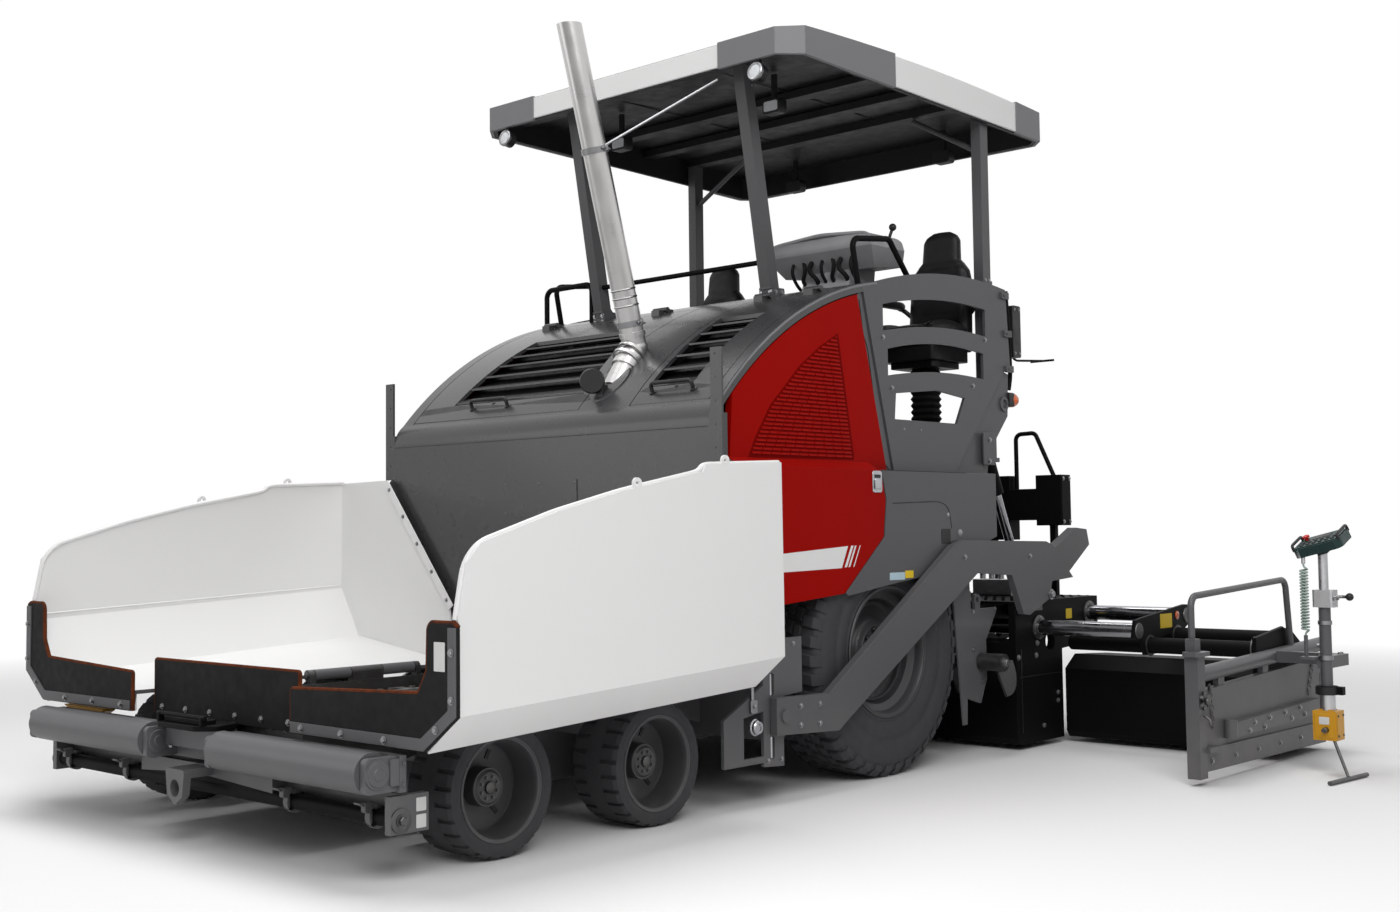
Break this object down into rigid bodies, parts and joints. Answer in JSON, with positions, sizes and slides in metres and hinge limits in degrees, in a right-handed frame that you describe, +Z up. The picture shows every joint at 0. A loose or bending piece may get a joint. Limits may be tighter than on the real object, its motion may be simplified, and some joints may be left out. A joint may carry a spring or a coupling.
{
  "type": "wheeled asphalt paver",
  "caption": "Wheeled road paver: front hopper with folding wings, louvred hood, canopied operator platform and an extending rear screed on side arms.",
  "frame": {"origin": "on the ground under the middle of the machine's bounding box", "axes": "+Z up, the machine's front and hopper look along -Y, its left side is at +X"},
  "size_m": [6.2818, 5.823, 3.8842],
  "materials": {
    "wing_paint": "satin off-white paint",
    "hood_paint": "warm grey metallic paint",
    "door_paint": "red paint",
    "frame_paint": "dark grey paint",
    "arm_paint": "grey paint",
    "black_paint": "black paint",
    "rim_paint": "grey paint",
    "cap_paint": "light grey and white paint",
    "canopy_black": "matt",
    "tyre": "matt",
    "flap_rubber": "matt",
    "worn_steel": "worn",
    "stainless": "stainless",
    "tube_chrome": "polished",
    "engine_iron": "cast",
    "console_plastic": "fine grain",
    "seat_vinyl": "black vinyl",
    "pole_aluminium": "satin",
    "cord_rubber": "pale, ribbed by its coils"
  },
  "bodies": {
    "chassis": {"chassis_frame": "frame_paint", "engine_block": "engine_iron", "hopper_floor": "worn_steel", "conveyor": "worn_steel", "centre_flap": "flap_rubber", "front_beam": "frame_paint", "axles": "frame_paint", "hood": "hood_paint", "side_bodies": "hood_paint", "platform": "hood_paint", "handrails": "black_paint", "console": "console_plastic", "seats": "seat_vinyl", "canopy_roof": "canopy_black", "canopy_trim": "cap_paint", "canopy_posts": "black_paint", "exhaust": "stainless", "auger_carrier": "frame_paint"},
    "push_beam": {"push_beam": "frame_paint"},
    "screed": {"tow_arms": "arm_paint", "screed_main": "black_paint"},
    "lift_barrels": {"lift_barrels": "black_paint"},
    "lift_rods": {"lift_rods": "tube_chrome"},
    "push_roller_left": {"push_roller_left": "worn_steel"},
    "push_roller_right": {"push_roller_right": "worn_steel"},
    "knuckle_left_1": {"knuckle_left_1": "frame_paint"},
    "front_wheel_left_1": {"front_rim_left_1": "rim_paint", "front_tyre_left_1": "tyre"},
    "knuckle_left_2": {"knuckle_left_2": "frame_paint"},
    "front_wheel_left_2": {"front_rim_left_2": "rim_paint", "front_tyre_left_2": "tyre"},
    "rear_wheel_left": {"rear_rim_left": "rim_paint", "rear_tyre_left": "tyre"},
    "hopper_wing_left": {"hopper_wing_left": "wing_paint", "wing_flap_left": "flap_rubber"},
    "engine_lid_left": {"engine_lid_left": "hood_paint"},
    "service_door_left": {"service_door_left": "door_paint"},
    "auger_left": {"auger_left": "worn_steel"},
    "knuckle_right_1": {"knuckle_right_1": "frame_paint"},
    "front_wheel_right_1": {"front_rim_right_1": "rim_paint", "front_tyre_right_1": "tyre"},
    "knuckle_right_2": {"knuckle_right_2": "frame_paint"},
    "front_wheel_right_2": {"front_rim_right_2": "rim_paint", "front_tyre_right_2": "tyre"},
    "rear_wheel_right": {"rear_rim_right": "rim_paint", "rear_tyre_right": "tyre"},
    "hopper_wing_right": {"hopper_wing_right": "wing_paint", "wing_flap_right": "flap_rubber"},
    "engine_lid_right": {"engine_lid_right": "hood_paint"},
    "service_door_right": {"service_door_right": "door_paint"},
    "auger_right": {"auger_right": "worn_steel"},
    "screed_extension_left": {"screed_extension_left": "black_paint", "end_gate_left": "arm_paint", "levelling_gear_left": "pole_aluminium", "panel_cord": "cord_rubber"},
    "extension_stage_left": {"extension_stage_left": "tube_chrome"},
    "screed_extension_right": {"screed_extension_right": "black_paint", "end_gate_right": "arm_paint", "levelling_gear_right": "pole_aluminium"},
    "extension_stage_right": {"extension_stage_right": "tube_chrome"}
  },
  "joints": [
    {"name": "push_beam_swing", "type": "hinge", "parent": "chassis", "child": "push_beam", "pos_m": [0, -2.714, 0.445], "axis": [0, 0, 1], "range_deg": [-5, 5]},
    {"name": "push_roller_left_spin", "type": "hinge", "parent": "push_beam", "child": "push_roller_left", "pos_m": [0.78, -2.834, 0.42], "axis": [1, 0, 0], "continuous": true},
    {"name": "push_roller_right_spin", "type": "hinge", "parent": "push_beam", "child": "push_roller_right", "pos_m": [-0.78, -2.834, 0.42], "axis": [1, 0, 0], "continuous": true},
    {"name": "steer_left_1", "type": "hinge", "parent": "chassis", "child": "knuckle_left_1", "pos_m": [0.925, -2.169, 0.275], "axis": [0, 0, 1], "range_deg": [-20, 20]},
    {"name": "front_wheel_left_1_spin", "type": "hinge", "parent": "knuckle_left_1", "child": "front_wheel_left_1", "pos_m": [1.115, -2.169, 0.275], "axis": [1, 0, 0], "continuous": true},
    {"name": "steer_left_2", "type": "hinge", "parent": "chassis", "child": "knuckle_left_2", "pos_m": [0.925, -1.269, 0.275], "axis": [0, 0, 1], "range_deg": [-20, 20]},
    {"name": "front_wheel_left_2_spin", "type": "hinge", "parent": "knuckle_left_2", "child": "front_wheel_left_2", "pos_m": [1.115, -1.269, 0.275], "axis": [1, 0, 0], "continuous": true},
    {"name": "rear_wheel_left_spin", "type": "hinge", "parent": "chassis", "child": "rear_wheel_left", "pos_m": [1.07, 0.511, 0.65], "axis": [1, 0, 0], "continuous": true},
    {"name": "hopper_wing_left_fold", "type": "hinge", "parent": "chassis", "child": "hopper_wing_left", "pos_m": [0.6, -1.489, 0.6], "axis": [0, -1, 0], "range_deg": [0, 48]},
    {"name": "engine_lid_left_open", "type": "hinge", "parent": "chassis", "child": "engine_lid_left", "pos_m": [0.87, 0.169, 2.55102], "axis": [-1, 0, 0], "range_deg": [0, 45]},
    {"name": "service_door_left_open", "type": "hinge", "parent": "chassis", "child": "service_door_left", "pos_m": [1.306, -0.721, 1.28], "axis": [0, 0, -1], "range_deg": [0, 85]},
    {"name": "auger_left_spin", "type": "hinge", "parent": "chassis", "child": "auger_left", "pos_m": [0.6, 1.461, 0.53], "axis": [1, 0, 0], "continuous": true},
    {"name": "steer_right_1", "type": "hinge", "parent": "chassis", "child": "knuckle_right_1", "pos_m": [-0.925, -2.169, 0.275], "axis": [0, 0, 1], "range_deg": [-20, 20]},
    {"name": "front_wheel_right_1_spin", "type": "hinge", "parent": "knuckle_right_1", "child": "front_wheel_right_1", "pos_m": [-1.115, -2.169, 0.275], "axis": [1, 0, 0], "continuous": true},
    {"name": "steer_right_2", "type": "hinge", "parent": "chassis", "child": "knuckle_right_2", "pos_m": [-0.925, -1.269, 0.275], "axis": [0, 0, 1], "range_deg": [-20, 20]},
    {"name": "front_wheel_right_2_spin", "type": "hinge", "parent": "knuckle_right_2", "child": "front_wheel_right_2", "pos_m": [-1.115, -1.269, 0.275], "axis": [1, 0, 0], "continuous": true},
    {"name": "rear_wheel_right_spin", "type": "hinge", "parent": "chassis", "child": "rear_wheel_right", "pos_m": [-1.07, 0.511, 0.65], "axis": [1, 0, 0], "continuous": true},
    {"name": "hopper_wing_right_fold", "type": "hinge", "parent": "chassis", "child": "hopper_wing_right", "pos_m": [-0.6, -1.489, 0.6], "axis": [0, 1, 0], "range_deg": [0, 48]},
    {"name": "engine_lid_right_open", "type": "hinge", "parent": "chassis", "child": "engine_lid_right", "pos_m": [-0.52, 0.169, 2.55102], "axis": [-1, 0, 0], "range_deg": [0, 45]},
    {"name": "service_door_right_open", "type": "hinge", "parent": "chassis", "child": "service_door_right", "pos_m": [-1.306, -0.721, 1.28], "axis": [0, 0, 1], "range_deg": [0, 85]},
    {"name": "auger_right_spin", "type": "hinge", "parent": "chassis", "child": "auger_right", "pos_m": [-0.6, 1.461, 0.53], "axis": [1, 0, 0], "continuous": true},
    {"name": "screed_lift", "type": "hinge", "parent": "chassis", "child": "screed", "pos_m": [0, -0.474, 0.41], "axis": [1, 0, 0], "range_deg": [0, 8]},
    {"name": "lift_barrel_swing", "type": "hinge", "parent": "chassis", "child": "lift_barrels", "pos_m": [0, 1.671, 2], "axis": [1, 0, 0], "range_deg": [0, 4.2]},
    {"name": "lift_rod_slide", "type": "slide", "parent": "lift_barrels", "child": "lift_rods", "axis": [0, -0.4296, 0.903], "range_m": [0, 0.372]},
    {"name": "screed_extension_left_slide", "type": "slide", "parent": "screed", "child": "screed_extension_left", "axis": [1, 0, 0], "range_m": [-1.18, 0]},
    {"name": "extension_stage_left_slide", "type": "slide", "parent": "screed", "child": "extension_stage_left", "axis": [1, 0, 0], "range_m": [-0.59, 0]},
    {"name": "screed_extension_right_slide", "type": "slide", "parent": "screed", "child": "screed_extension_right", "axis": [-1, 0, 0], "range_m": [-1.18, 0]},
    {"name": "extension_stage_right_slide", "type": "slide", "parent": "screed", "child": "extension_stage_right", "axis": [-1, 0, 0], "range_m": [-0.59, 0]}
  ],
  "couplings": [
    {"joint": "steer_left_2", "follows": "steer_left_1", "ratio": 1},
    {"joint": "steer_right_1", "follows": "steer_left_1", "ratio": 1},
    {"joint": "steer_right_2", "follows": "steer_left_1", "ratio": 1},
    {"joint": "lift_barrel_swing", "follows": "screed_lift", "ratio": 0.49653},
    {"joint": "lift_rod_slide", "follows": "screed_lift", "m_per_rad": 2.6358},
    {"joint": "extension_stage_left_slide", "follows": "screed_extension_left_slide", "ratio": 0.5},
    {"joint": "extension_stage_right_slide", "follows": "screed_extension_right_slide", "ratio": 0.5}
  ]
}
